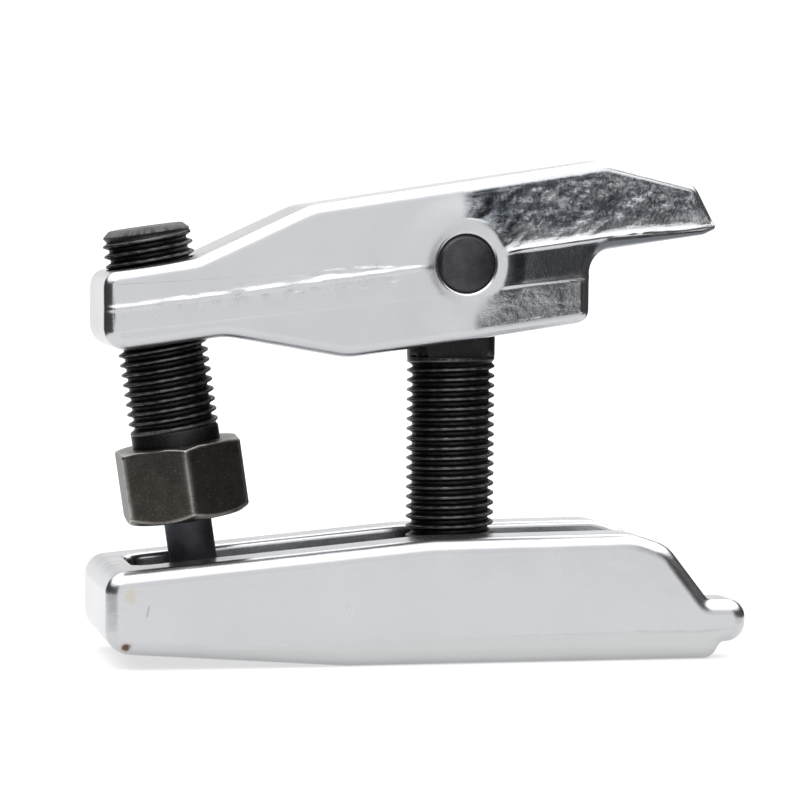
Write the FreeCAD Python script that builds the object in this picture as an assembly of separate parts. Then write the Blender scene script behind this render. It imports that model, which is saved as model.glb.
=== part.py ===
"""Ball joint separator: a scissor tool with a forcing screw, as separate pieces.

Frame: millimetres, +Z up, the tool standing on its lower jaw's flat underside.
The origin is on that underside, in the middle of the tool's length and width,
and +X runs towards the jaws' working end. The pieces are drawn about the axis
of the pivot post, and POST_X moves them all to the origin at the end.
"""
import FreeCAD, Part
import math
import os

V = FreeCAD.Vector

# --- driving dimensions ----------------------------------------------------
POST_X = 7.5               # the pivot post's axis in the finished frame
JAW_HALF_WIDTH = 20.5      # lower jaw, half its width across the two tines
FORK_WIDTH = 20.0          # gap between the tines, takes the ball joint's stud
FORK_CENTRE_X = 28.0       # centre of the fork's round root
GROOVE_FLOOR_Z = 12.0      # level groove floor that the thrust tip pushes on
GROOVE_X = (-66.0, -13.0)  # ends of the groove
WEB_TOP_Z = 20.0           # web that holds the threaded post
JAW_EDGE_R = 3.0           # rounded edges of the lower forging
RIM_R = 1.2                # rounded inner rim of the groove and the fork

ARM_HALF_WIDTH = 14.3      # upper jaw, half its width at the pin
ARM_EDGE_R = 2.5           # rounded edges of the upper forging
ARM_TAPER_X = 6.0          # the finger starts to taper here
ARM_TAPER_DEG = 10.5       # taper of each side of the finger
SINK = 0.8                 # countersink round the pin's holes

PIN_Z = 80.0               # height of the cross pin at rest
PIN_R = 5.75
PIN_SHY = 0.4              # the pin ends this far inside the cheeks' faces
RUN_GAP = 0.05             # radial running clearance of pins and threads

THREAD_R = 9.0             # M18 x 2 on both the post and the forcing screw
THREAD_PITCH = 2.0
THREAD_DEPTH = 1.2

EYE_HALF_THICK = 6.3       # half the thickness of the post's flat eye
SLOT_HALF_WIDTH = 6.5      # half the width of the slot that takes the eye
EYE_FLAT_Z = 60.8          # the post's flats start here
EYE_R = 9.0
SLOT_SWING_DEG = 14.0      # the slot leaves the post this much swing each way
POST_FOOT_Z = 0.8
POST_THREAD_END = 60.0

SCREW_TILT_DEG = 8.5       # lean of the forcing screw at rest, top towards -X
SCREW_TOP = (-63.1, 86.9)  # X and Z of the forcing screw's top end
HEX_AF = 24.0              # across flats
HEX_TURN_DEG = 29.0        # turn of the hexagon about the screw's axis at rest
TIP_R = 4.8                # plain thrust tip below the hexagon
TIP_GAP = 0.3              # rest gap between the thrust tip and the groove
TIP_DOME_R = 7.0
RING_WIRE_R = 0.55         # spring wire ring that holds the tip in the screw
RING_HALF = 0.65           # half the width of the ring's groove


# --- small helpers ----------------------------------------------------------
def rounded_outline(corners, first_axis, second_axis):
    """Face in the plane of two axes from (a, b, radius) corners, each one rounded."""
    pts = [first_axis * a + second_axis * b for a, b, _ in corners]
    starts, ends, arcs = [], [], []
    for i, (_, _, radius) in enumerate(corners):
        here = pts[i]
        back = (pts[i - 1] - here).normalize()
        ahead = (pts[(i + 1) % len(pts)] - here).normalize()
        half = 0.5 * math.acos(max(-1.0, min(1.0, back.dot(ahead))))
        run = radius / math.tan(half)
        starts.append(here + back * run)
        ends.append(here + ahead * run)
        to_centre = (back + ahead).normalize()
        inner = here + to_centre * (radius / math.sin(half) - radius)
        arcs.append(Part.Arc(starts[i], inner, ends[i]).toShape() if radius > 0 else None)
    edges = []
    for i, arc in enumerate(arcs):
        if arc is not None:
            edges.append(arc)
        following = starts[(i + 1) % len(pts)]
        if (ends[i] - following).Length > 1e-6:
            edges.append(Part.makeLine(ends[i], following))
    return Part.Face(Part.Wire(edges))


def slab(corners, half_width):
    """Solid from rounded (x, z, radius) corners, from Y = -half_width to +half_width."""
    outline = rounded_outline(corners, V(1, 0, 0), V(0, 0, 1))
    outline.translate(V(0, -half_width, 0))
    return outline.extrude(V(0, 2 * half_width, 0))


def box(x0, x1, y0, y1, z0, z1):
    """Axis-aligned box between two corners."""
    return Part.makeBox(x1 - x0, y1 - y0, z1 - z0, V(x0, y0, z0))


def turned(points, base, direction):
    """Solid of revolution from (radius, height) points, standing on base along direction."""
    wire = Part.makePolygon([V(r, 0, h) for r, h in points] + [V(points[0][0], 0, points[0][1])])
    solid = Part.Face(wire).revolve(V(0, 0, 0), V(0, 0, 1), 360)
    solid.Placement = FreeCAD.Placement(base, FreeCAD.Rotation(V(0, 0, 1), direction))
    return solid


def rod(radius, start, end):
    """Plain round bar from start to end."""
    axis = end - start
    return Part.makeCylinder(radius, axis.Length, start, axis)


def thread_outline(low, high):
    """(radius, height) points of ring grooves, one per pitch, between two heights."""
    count = int((high - low) / THREAD_PITCH)
    root = THREAD_R - THREAD_DEPTH
    flat = 0.15 * THREAD_PITCH
    points = []
    for i in range(count):
        foot = low + i * THREAD_PITCH
        points.append((THREAD_R, foot + flat))
        points.append((root, foot + 0.45 * THREAD_PITCH))
        points.append((root, foot + 0.55 * THREAD_PITCH))
        points.append((THREAD_R, foot + THREAD_PITCH - flat))
    return points


def rounded_rims(solid, radius):
    """Round every edge between a side face and a face that runs straight across in Y."""
    chosen = []
    for edge in solid.Edges:
        across = []
        for face in solid.ancestorsOfType(edge, Part.Face):
            u0, u1, v0, v1 = face.ParameterRange
            across.append(abs(face.normalAt((u0 + u1) / 2, (v0 + v1) / 2).y) < 0.02)
        if len(across) == 2 and across[0] != across[1]:
            chosen.append(edge)
    return solid.makeFillet(radius, chosen)


def screw_point(distance):
    """Point on the forcing screw's axis, so far below its top end."""
    lean = math.radians(SCREW_TILT_DEG)
    return V(SCREW_TOP[0] + distance * math.sin(lean), 0, SCREW_TOP[1] - distance * math.cos(lean))


# stations along the forcing screw, from its top end down
THREAD_END = 41.4
HEX_START = 44.0
HEX_END = 59.0
BORE_DEPTH = 14.0
RING_AT = 52.0
DOME_DROP = SCREW_TOP[1] - (GROOVE_FLOOR_Z + TIP_GAP + TIP_DOME_R)
TIP_END = DOME_DROP / math.cos(math.radians(SCREW_TILT_DEG)) + TIP_DOME_R


# --- the pieces ---------------------------------------------------------------
def lower_jaw():
    """Forged fork: two tines, a groove for the thrust tip and a threaded web."""
    side = [
        (-73.0, 3.4, 5.0), (-25.0, 0.0, 40.0), (50.8, 0.0, 3.3), (52.9, 3.3, 1.5), (58.0, 3.5, 4.1),
        (58.0, 12.1, 3.9), (50.0, 12.1, 1.3), (41.3, 23.2, 8.0), (33.5, 25.8, 12.0),
        (-8.0, 25.2, 60.0), (-73.0, 19.1, 4.2),
    ]
    body = rounded_rims(slab(side, JAW_HALF_WIDTH), JAW_EDGE_R)
    half = FORK_WIDTH / 2
    fork = box(FORK_CENTRE_X, 70, -half, half, -1, 40)
    fork = fork.fuse(Part.makeCylinder(half, 41, V(FORK_CENTRE_X, 0, -1)))
    groove = box(GROOVE_X[0], GROOVE_X[1], -half, half, GROOVE_FLOOR_Z, 40)
    groove = groove.makeFillet(4.0, [e for e in groove.Edges if upright_at(e, GROOVE_X[0])])
    above_web = box(GROOVE_X[1] - 1, FORK_CENTRE_X, -half, half, WEB_TOP_Z, 40)
    hole = Part.makeCylinder(THREAD_R + RUN_GAP, 40, V(0, 0, -5))
    body = body.cut(fork.fuse([groove, above_web, hole])).removeSplitter().Solids[0]
    body = body.makeFillet(RIM_R, [e for e in body.Edges if end_rim(e.BoundBox)])
    lip = [(THREAD_R, -1.0), (THREAD_R + 1.5, -1.0), (THREAD_R + 1.5, 0.0), (THREAD_R, 1.5)]
    return body.cut(turned(lip, V(0, 0, 0), V(0, 0, 1)))


def upright_at(edge, x):
    """True for a vertical edge at this X."""
    bounds = edge.BoundBox
    return bounds.ZLength > 20 and abs(bounds.XMax - x) < 0.01


def end_rim(bounds):
    """True for the groove's rim at its closed end, which leads on to all of the inner rim."""
    return bounds.XMax < GROOVE_X[0] + 0.01 and bounds.YLength < FORK_WIDTH and bounds.ZMin > 19


def upper_jaw():
    """Forged lever: threaded rear end, slotted middle on the cross pin, tapered finger."""
    side = [
        (-72.8, 61.9, 4.5), (-48.5, 65.3, 14.0), (-24.0, 61.0, 14.0), (27.0, 68.2, 2.8),
        (26.9, 82.4, 5.0), (55.1, 87.0, 0.0), (50.7, 96.2, 3.5), (30.5, 101.3, 6.0),
        (-31.5, 91.5, 12.0), (-54.5, 80.7, 8.0), (-72.8, 77.7, 3.2),
    ]
    wide = ARM_HALF_WIDTH
    slim = wide - (60 - ARM_TAPER_X) * math.tan(math.radians(ARM_TAPER_DEG))
    plan = rounded_outline([
        (-80, -wide, 0), (ARM_TAPER_X, -wide, 25), (60, -slim, 0),
        (60, slim, 0), (ARM_TAPER_X, wide, 25), (-80, wide, 0),
    ], V(1, 0, 0), V(0, 1, 0)).extrude(V(0, 0, 120))
    body = rounded_rims(slab(side, wide).common(plan).Solids[0], ARM_EDGE_R)
    top_end = screw_point(-20)
    screw_hole = rod(THREAD_R + RUN_GAP, top_end, screw_point(60))
    pin_hole = rod(PIN_R, V(0, -20, PIN_Z), V(0, 20, PIN_Z))
    sink = [(0, 0), (PIN_R, 0), (PIN_R + SINK, SINK), (PIN_R + SINK, 3), (0, 3)]
    near_sink = turned(sink, V(0, SINK - wide, PIN_Z), V(0, -1, 0))
    far_sink = turned(sink, V(0, wide - SINK, PIN_Z), V(0, 1, 0))
    return body.cut([screw_hole, pin_hole, near_sink, far_sink, eye_slot()])


def eye_slot():
    """Room in the upper jaw for the post's flat eye and for its swing."""
    lean = math.radians(SLOT_SWING_DEG)
    reach = EYE_R + 0.5
    drop = 26.0
    right = (reach * math.cos(lean), PIN_Z + reach * math.sin(lean))
    foot = (right[0] + drop * math.sin(lean), right[1] - drop * math.cos(lean))
    flare = slab([(-foot[0], foot[1], 0), (foot[0], foot[1], 0), (right[0], right[1], 0),
                  (-right[0], right[1], 0)], SLOT_HALF_WIDTH)
    dome = rod(reach, V(0, -SLOT_HALF_WIDTH, PIN_Z), V(0, SLOT_HALF_WIDTH, PIN_Z))
    return flare.fuse(dome)


def pivot_post():
    """Threaded post with a flat eye on top that turns on the cross pin."""
    thread = thread_outline(POST_FOOT_Z + 2.0, POST_THREAD_END)
    outline = [(0, POST_FOOT_Z), (THREAD_R - 1.5, POST_FOOT_Z), (THREAD_R, POST_FOOT_Z + 1.5)] + thread
    outline += [(THREAD_R, EYE_FLAT_Z), (0, EYE_FLAT_Z)]
    shank = turned(outline, V(0, 0, 0), V(0, 0, 1))
    neck = Part.makeCylinder(THREAD_R, PIN_Z - EYE_FLAT_Z, V(0, 0, EYE_FLAT_Z))
    neck = neck.common(box(-20, 20, -EYE_HALF_THICK, EYE_HALF_THICK, 0, 200))
    eye = rod(EYE_R, V(0, -EYE_HALF_THICK, PIN_Z), V(0, EYE_HALF_THICK, PIN_Z))
    bore = rod(PIN_R + RUN_GAP, V(0, -20, PIN_Z), V(0, 20, PIN_Z))
    return shank.fuse([neck, eye]).cut(bore).removeSplitter()


def cross_pin():
    """Hardened pin pressed into both cheeks of the upper jaw, chamfered ends."""
    length = 2 * (ARM_HALF_WIDTH - PIN_SHY)
    outline = [(0, 0), (PIN_R - 0.6, 0), (PIN_R, 0.6), (PIN_R, length - 0.6),
               (PIN_R - 0.6, length), (0, length)]
    return turned(outline, V(0, -length / 2, PIN_Z), V(0, 1, 0))


def hexagon():
    """Hexagonal head along its own +Z from the origin, corners chamfered at both ends."""
    corner = HEX_AF / math.sqrt(3)
    height = HEX_END - HEX_START
    ring = [V(corner * math.cos(math.radians(60 * i)), corner * math.sin(math.radians(60 * i)), 0)
            for i in range(7)]
    prism = Part.Face(Part.makePolygon(ring)).extrude(V(0, 0, height))
    flat = HEX_AF / 2
    top, foot = 0.6, 1.6
    shell = [(0, 0), (flat - 0.4, 0), (corner + 0.2, foot), (corner + 0.2, height - top),
             (flat + 0.2, height), (0, height)]
    return prism.common(turned(shell, V(0, 0, 0), V(0, 0, 1)))


def forcing_screw():
    """Screw with its hexagon near the foot and a blind bore that holds the thrust tip."""
    length = HEX_END
    groove_r = TIP_R + RING_WIRE_R + RUN_GAP
    ring_up = length - RING_AT
    outline = [(0, BORE_DEPTH), (TIP_R + RUN_GAP, BORE_DEPTH),
               (TIP_R + RUN_GAP, ring_up + RING_HALF), (groove_r, ring_up + RING_HALF),
               (groove_r, ring_up - RING_HALF), (TIP_R + RUN_GAP, ring_up - RING_HALF),
               (TIP_R + RUN_GAP, 0), (THREAD_R, 0)]
    outline += thread_outline(length - THREAD_END, length - 1.6)
    outline += [(THREAD_R, length - 1.4), (THREAD_R - 1.4, length), (0, length)]
    shank = turned(outline, V(0, 0, 0), V(0, 0, 1))
    void = Part.makeCylinder(groove_r + 0.5, length - HEX_START, V(0, 0, 0))
    head = hexagon().cut(void)
    head.rotate(V(0, 0, 0), V(0, 0, 1), HEX_TURN_DEG)
    screw = shank.fuse(head).removeSplitter()
    screw.Placement = along_screw(HEX_END)
    return screw


def along_screw(distance):
    """Placement that stands a piece on the screw's axis, its +Z towards the top end."""
    axis = screw_point(0) - screw_point(1)
    return FreeCAD.Placement(screw_point(distance), FreeCAD.Rotation(V(0, 0, 1), axis))


def thrust_tip():
    """Hardened tip with a domed foot; the screw turns on its stem."""
    length = TIP_END - (HEX_END - BORE_DEPTH) - 0.1
    ring_up = TIP_END - RING_AT
    neck = TIP_R - RING_WIRE_R - RUN_GAP
    outline = [(0, 0), (TIP_R, 0), (TIP_R, ring_up - RING_HALF), (neck, ring_up - RING_HALF),
               (neck, ring_up + RING_HALF), (TIP_R, ring_up + RING_HALF), (TIP_R, length - 0.8),
               (TIP_R - 0.8, length), (0, length)]
    stem = turned(outline, V(0, 0, 0), V(0, 0, 1))
    dome = Part.makeSphere(TIP_DOME_R, V(0, 0, TIP_DOME_R))
    above = Part.makeCylinder(TIP_R + 1, length, V(0, 0, TIP_DOME_R))
    tip = stem.common(dome.fuse(above)).removeSplitter()
    tip.Placement = along_screw(TIP_END)
    return tip


def tip_ring():
    """Spring wire ring that keeps the thrust tip in the screw's bore."""
    ring = Part.makeTorus(TIP_R, RING_WIRE_R)
    ring.Placement = along_screw(RING_AT)
    return ring


PIECES = {
    "lower_jaw": lower_jaw,
    "pivot_post": pivot_post,
    "upper_jaw": upper_jaw,
    "cross_pin": cross_pin,
    "forcing_screw": forcing_screw,
    "thrust_tip": thrust_tip,
    "tip_ring": tip_ring,
}

os.makedirs("parts", exist_ok=True)
for node, make in PIECES.items():
    shape = make().translated(V(POST_X, 0, 0))
    shape.exportStep("parts/" + node + ".step")
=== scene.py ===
"""Looks of a scissor-type ball joint separator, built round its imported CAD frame.

Lengths inside the classes are millimetres; meshes are made in metres. +X runs
towards the open ends of the jaws, +Z is up along the pivot post.
"""

import logging
import math
from dataclasses import dataclass, field
from enum import Enum
from typing import Any, Sequence

import bmesh
import bpy
import numpy as np
from mathutils import Matrix


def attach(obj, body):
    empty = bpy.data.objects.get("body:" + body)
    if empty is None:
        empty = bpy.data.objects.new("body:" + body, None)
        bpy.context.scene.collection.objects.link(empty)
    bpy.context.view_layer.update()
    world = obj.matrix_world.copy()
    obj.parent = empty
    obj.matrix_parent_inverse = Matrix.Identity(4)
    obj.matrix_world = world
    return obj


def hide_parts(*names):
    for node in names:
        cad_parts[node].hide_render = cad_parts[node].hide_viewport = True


LOG = logging.getLogger("separator")
MM = 0.001
PIN = (7.5, 80.0)  # x and z of the cross pin
LATTICE = 128  # heights along each side of a noise lattice

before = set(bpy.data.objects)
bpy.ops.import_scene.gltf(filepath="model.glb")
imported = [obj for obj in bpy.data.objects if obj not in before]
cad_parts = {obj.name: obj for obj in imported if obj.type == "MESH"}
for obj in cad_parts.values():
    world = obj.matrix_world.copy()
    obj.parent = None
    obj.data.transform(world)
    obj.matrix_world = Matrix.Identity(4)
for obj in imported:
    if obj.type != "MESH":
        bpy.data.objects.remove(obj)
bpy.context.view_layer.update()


class Side(Enum):
    """The two sides of the tool; the value is the sign of Y."""

    NEAR = -1.0
    FAR = 1.0


class Texture(Enum):
    """The lever's random textures; the value is the seed of each one's lattice."""

    BEAD = 3
    WAVES = 5
    STREAKS = 7
    KNOTS = 9
    CRUMBS = 11


# ---------------------------------------------------------------- shader values
class Value:
    """A number in a shader tree; Python operators on it add Math nodes."""

    def __init__(self, shade: "Shade", socket: bpy.types.NodeSocket) -> None:
        """Keeps the number's place.

        Args:
            shade: the tree that the number belongs to.
            socket: the output socket that carries it.
        """
        self.shade = shade
        self.socket = socket

    def math(self, operation: str, *others: "Value | float", swap: bool = False) -> "Value":
        """One Math node on this value.

        Args:
            operation: name of the Math node's operation.
            others: the other operands, values or plain numbers.
            swap: puts the first other operand before this value.

        Returns:
            The node's result.
        """
        operands: list[Value | float] = [self, *others]
        if swap:
            operands[0], operands[1] = operands[1], operands[0]
        inputs = dict(enumerate(operands))
        node = self.shade.add("ShaderNodeMath", {"operation": operation}, inputs)
        return Value(self.shade, node.outputs[0])

    def __add__(self, other: "Value | float") -> "Value":
        """Sum."""
        return self.math("ADD", other)

    __radd__ = __add__

    def __sub__(self, other: "Value | float") -> "Value":
        """Difference."""
        return self.math("SUBTRACT", other)

    def __rsub__(self, other: float) -> "Value":
        """Difference from a plain number."""
        return self.math("SUBTRACT", other, swap=True)

    def __mul__(self, other: "Value | float") -> "Value":
        """Product."""
        return self.math("MULTIPLY", other)

    __rmul__ = __mul__

    def __truediv__(self, other: "Value | float") -> "Value":
        """Quotient."""
        return self.math("DIVIDE", other)

    def __pow__(self, other: float) -> "Value":
        """Power."""
        return self.math("POWER", other)

    def band(self, low: float, high: float) -> "Value":
        """Smooth step from 0 at low to 1 at high; a falling step where low is above high.

        Args:
            low: value that gives 0.
            high: value that gives 1.

        Returns:
            The stepped value.
        """
        rising = low < high
        node = self.shade.add(
            "ShaderNodeMapRange",
            {"interpolation_type": "SMOOTHSTEP", "clamp": True},
            {0: self, 1: min(low, high), 2: max(low, high), 3: 0.0 if rising else 1.0,
             4: 1.0 if rising else 0.0},
        )
        return Value(self.shade, node.outputs[0])


class Shade:
    """The shader tree of a material or world, and the few kinds of node that it is made from."""

    def __init__(self, owner: bpy.types.Material | bpy.types.World) -> None:
        """Empties the owner's tree.

        Args:
            owner: the material or world that the tree belongs to.
        """
        owner.use_nodes = True
        self.owner = owner
        self.tree = owner.node_tree
        self.tree.nodes.clear()

    def add(self, kind: str, settings: dict[str, Any], inputs: dict[Any, Any]) -> bpy.types.Node:
        """Adds one node.

        Args:
            kind: the node's type.
            settings: node properties, set before its sockets; "stops" sets a ramp's stops.
            inputs: socket name or index to a Value, an output socket or a constant.

        Returns:
            The new node.
        """
        node = self.tree.nodes.new(kind)
        for key, setting in settings.items():
            if key == "stops":
                ramp = node.color_ramp
                while len(ramp.elements) < len(setting):
                    ramp.elements.new(1.0)
                for element, (place, colour) in zip(ramp.elements, setting):
                    element.position = place
                    element.color = (*colour, 1.0)
            else:
                setattr(node, key, setting)
        for key, given in inputs.items():
            if isinstance(given, Value):
                given = given.socket
            if isinstance(given, bpy.types.NodeSocket):
                self.tree.links.new(given, node.inputs[key])
            else:
                node.inputs[key].default_value = given
        return node

    def place(self) -> bpy.types.NodeSocket:
        """Position on the piece in object coordinates, metres."""
        return self.add("ShaderNodeTexCoord", {}, {}).outputs["Object"]

    def stretched(self, vector: bpy.types.NodeSocket, scale: Sequence[float],
                  turn: float = 0.0) -> bpy.types.NodeSocket:
        """A position scaled per axis, after a turn about Y.

        Args:
            vector: the position.
            scale: factor along each axis.
            turn: turn about Y in radians.

        Returns:
            The mapped position.
        """
        node = self.add("ShaderNodeMapping", {}, {
            "Vector": vector, "Scale": tuple(scale), "Rotation": (0.0, turn, 0.0)})
        return node.outputs[0]

    def axes(self, vector: bpy.types.NodeSocket) -> tuple[Value, Value, Value]:
        """The three numbers of a position."""
        node = self.add("ShaderNodeSeparateXYZ", {}, {0: vector})
        return tuple(Value(self, output) for output in node.outputs)

    def noise(self, vector: bpy.types.NodeSocket, grain_mm: float, detail: float = 2.0,
              rough: float = 0.5) -> Value:
        """Fractal noise from 0 to 1.

        Args:
            vector: position in metres.
            grain_mm: size of its largest blobs.
            detail: octaves.
            rough: weight of the finer octaves.

        Returns:
            The noise value.
        """
        node = self.add("ShaderNodeTexNoise", {}, {
            "Vector": vector, "Scale": 1.0 / (grain_mm * MM), "Detail": detail, "Roughness": rough})
        return Value(self, node.outputs["Fac"])

    def cells(self, vector: bpy.types.NodeSocket, grain_mm: float) -> Value:
        """Distance to the nearest of many scattered points.

        Args:
            vector: position in metres.
            grain_mm: usual size of a point's cell.

        Returns:
            The distance, from 0 to about 1.
        """
        node = self.add("ShaderNodeTexVoronoi", {"feature": "F1"}, {
            "Vector": vector, "Scale": 1.0 / (grain_mm * MM)})
        return Value(self, node.outputs["Distance"])

    def attribute(self, name: str) -> Value:
        """A number stored on the mesh's points."""
        node = self.add("ShaderNodeAttribute", {"attribute_name": name}, {})
        return Value(self, node.outputs["Fac"])

    def colours(self, value: Value,
                stops: Sequence[tuple[float, Sequence[float]]]) -> bpy.types.NodeSocket:
        """Colour looked up along a ramp of stops."""
        return self.add("ShaderNodeValToRGB", {"stops": stops}, {0: value}).outputs[0]

    def mixed(self, share: Value, first: Any, second: Any) -> bpy.types.NodeSocket:
        """Colour between two colours.

        Args:
            share: 0 for the first colour, 1 for the second.
            first: a colour or a colour socket.
            second: a colour or a colour socket.

        Returns:
            The mixed colour.
        """
        first, second = ((*c, 1.0) if isinstance(c, tuple) else c for c in (first, second))
        node = self.add("ShaderNodeMix", {"data_type": "RGBA"}, {0: share, 6: first, 7: second})
        return node.outputs[2]

    def bumped(self, height: Value, depth_mm: float) -> bpy.types.NodeSocket:
        """Normal of a relief.

        Args:
            height: the relief's height, from 0 to 1.
            depth_mm: depth that a height of 1 stands for.

        Returns:
            The bumped normal.
        """
        node = self.add("ShaderNodeBump", {}, {
            "Height": height, "Distance": depth_mm * MM, "Strength": 1.0})
        return node.outputs[0]

    def surface(self, colour: Any, roughness: Any, normal: bpy.types.NodeSocket,
                metallic: float = 1.0, glow: float = 0.0) -> bpy.types.Material:
        """Ends the tree in a principled surface.

        Args:
            colour: base colour socket.
            roughness: roughness value.
            normal: bumped normal socket.
            metallic: 1 for bare metal.
            glow: white light that the surface gives off.

        Returns:
            The finished material.
        """
        inputs = {"Base Color": colour, "Roughness": roughness, "Normal": normal,
                  "Metallic": metallic}
        if glow:
            inputs["Emission Color"] = (1.0, 1.0, 1.0, 1.0)
            inputs["Emission Strength"] = glow
        shader = self.add("ShaderNodeBsdfPrincipled", {}, inputs)
        self.add("ShaderNodeOutputMaterial", {}, {"Surface": shader.outputs[0]})
        return self.owner


# ---------------------------------------------------------------------- finishes
@dataclass(frozen=True)
class Plating:
    """Bright plating over a shot-blasted forging.

    Tone is the plated colour, dull its roughness, grain_mm and grain_depth_mm
    the blast texture under the plating, and ripple_mm the forging's slow waves.
    Where the wear attribute leaves cast skin, it has crumbs and larger clots that
    are drawn out along a slant. Shadow is the colour of a painted dark reflection,
    which the dim attribute lays on and the lit streaks of crumbs and clots lift.
    """

    name: str
    tone: tuple[float, float, float] = (0.5, 0.505, 0.52)
    # colour of the painted dark reflection
    shadow: tuple[float, float, float] = (0.06, 0.069, 0.082)
    dull: float = 0.17
    grain_mm: float = 0.5
    grain_depth_mm: float = 0.012
    ripple_mm: float = 7.0
    haze_mm: float = 14.0
    crumb_mm: float = 0.7
    clot_mm: float = 4.5
    slant_deg: float = 38.0
    slant_squash: float = 3.2

    def material(self) -> bpy.types.Material:
        """Plated surface with fine grain, slow ripples, haze, a few pits and a painted dark
        reflection.

        Returns:
            The finished material.
        """
        shade = Shade(bpy.data.materials.new(self.name))
        here = shade.place()
        grain = shade.noise(here, self.grain_mm, 3.0, 0.6)
        ripple = shade.noise(here, self.ripple_mm, 2.0)
        haze = shade.noise(here, self.haze_mm, 3.0)
        pits = shade.cells(here, self.haze_mm).band(0.045, 0.02)
        colour = shade.colours(haze * 0.7 + grain * 0.3, (
            (0.3, tuple(c * 0.94 for c in self.tone)), (0.7, self.tone)))
        colour = shade.mixed(pits * 0.4, colour, (0.3, 0.29, 0.28))
        rough, dim = shade.attribute("wear"), shade.attribute("dim")
        crumbs = shade.noise(here, self.crumb_mm, 3.0, 0.7)
        drawn = shade.stretched(here, (1.0, 1.0, self.slant_squash), math.radians(self.slant_deg))
        clots = shade.noise(drawn, self.clot_mm, 3.0, 0.6)
        # Painted dark reflection: the colour goes towards shadow where dim is set, less on the lit
        # streaks.
        lit = (crumbs * 0.45 + clots * 0.55).band(0.43, 0.66)
        dark = dim * (1.0 - rough * lit * 0.85)
        colour = shade.mixed(dark, colour, self.shadow)
        roughness = self.dull + grain * 0.08 + haze * 0.08 + rough * crumbs * 0.2
        colour, roughness, extra = self.marks(shade, here, colour, roughness)
        relief = (grain * self.grain_depth_mm + ripple * 0.12 - pits * 0.05
                  + rough * crumbs * 0.22 + rough * clots * 0.3 + extra)
        return shade.surface(colour, roughness, shade.bumped(relief, 1.0))

    def marks(self, shade: Shade, here: bpy.types.NodeSocket, colour: bpy.types.NodeSocket,
              roughness: Value) -> tuple[bpy.types.NodeSocket, Value, Value]:
        """Marks that belong to one piece only; plain plating has none.

        Args:
            shade: the material's tree.
            here: position on the piece.
            colour: plated colour so far.
            roughness: roughness so far.

        Returns:
            Colour, roughness and added relief in millimetres.
        """
        return colour, roughness, roughness * 0.0


@dataclass(frozen=True)
class JawPlating(Plating):
    """Plating of the lower jaw, with its parting line, a rust spot, a stain and scratches."""

    line_height: float = 4.75
    line_rise: float = 0.018
    rust_at: tuple[float, float] = (-61.7, 4.8)
    stain_at: tuple[float, float] = (-60.8, 15.0)
    stain_squash: float = 0.7
    scratch_shift: float = 59.8

    def marks(self, shade: Shade, here: bpy.types.NodeSocket, colour: bpy.types.NodeSocket,
              roughness: Value) -> tuple[bpy.types.NodeSocket, Value, Value]:
        """Adds the parting line, a painted floor reflection under it, the rust, the stain and
        scratches.

        Args:
            shade: the material's tree.
            here: position on the piece.
            colour: plated colour so far.
            roughness: roughness so far.

        Returns:
            Colour, roughness and added relief in millimetres.
        """
        x, y, z = (axis * (1 / MM) for axis in shade.axes(here))
        wobble = shade.noise(here, 6.0, 3.0)
        over = z - x * self.line_rise - self.line_height - wobble * 0.8
        outside = y.math("ABSOLUTE").band(19.5, 20.3)
        stretch = x.band(-30.0, -20.0) * x.band(46.0, 42.0)
        line = over.math("ABSOLUTE").band(0.45, 0.05) * outside * stretch
        # Below the parting line: a small real step in relief, and a greenish grey painted in as the
        # floor's reflection.
        below = over.band(0.3, -0.6) * outside
        colour = shade.mixed(below * 0.35, colour, (0.46, 0.475, 0.455))
        front = y.band(-19.0, -20.0)
        ragged = shade.noise(here, 1.6, 4.0, 0.7)
        rust_gap = self.gap(x, z, self.rust_at) + ragged * 1.6
        rust = rust_gap.band(1.9, 1.3) * front
        colour = shade.mixed(rust_gap.band(2.6, 1.2) * front * 0.5, colour, (0.32, 0.27, 0.22))
        colour = shade.mixed(rust * 0.9, colour, (0.11, 0.05, 0.025))
        low = (self.stain_at[0], self.stain_at[1] * self.stain_squash)
        stain_gap = self.gap(x, z * self.stain_squash, low) + ragged * 2.2
        stain = stain_gap.band(2.7, 1.4) * front
        colour = shade.mixed(stain * 0.5, colour, (0.5, 0.44, 0.34))
        scratch_gap = (x - z * 0.2 + self.scratch_shift).math("ABSOLUTE") + wobble * 0.5
        scratch = scratch_gap.band(0.5, 0.3) * front * z.band(10.6, 11.2) * z.band(13.4, 12.6)
        colour = shade.mixed(scratch * 0.5, colour, (0.25, 0.25, 0.26))
        return (colour, roughness + rust * 0.4 + stain * 0.1,
                below * 0.08 + line * 0.05 - scratch * 0.04 + rust * ragged * 0.1)

    @staticmethod
    def gap(x: Value, z: Value, middle: tuple[float, float]) -> Value:
        """Distance from a point of the front face."""
        across, up = x - middle[0], z - middle[1]
        return (across * across + up * up).math("SQRT")


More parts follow.
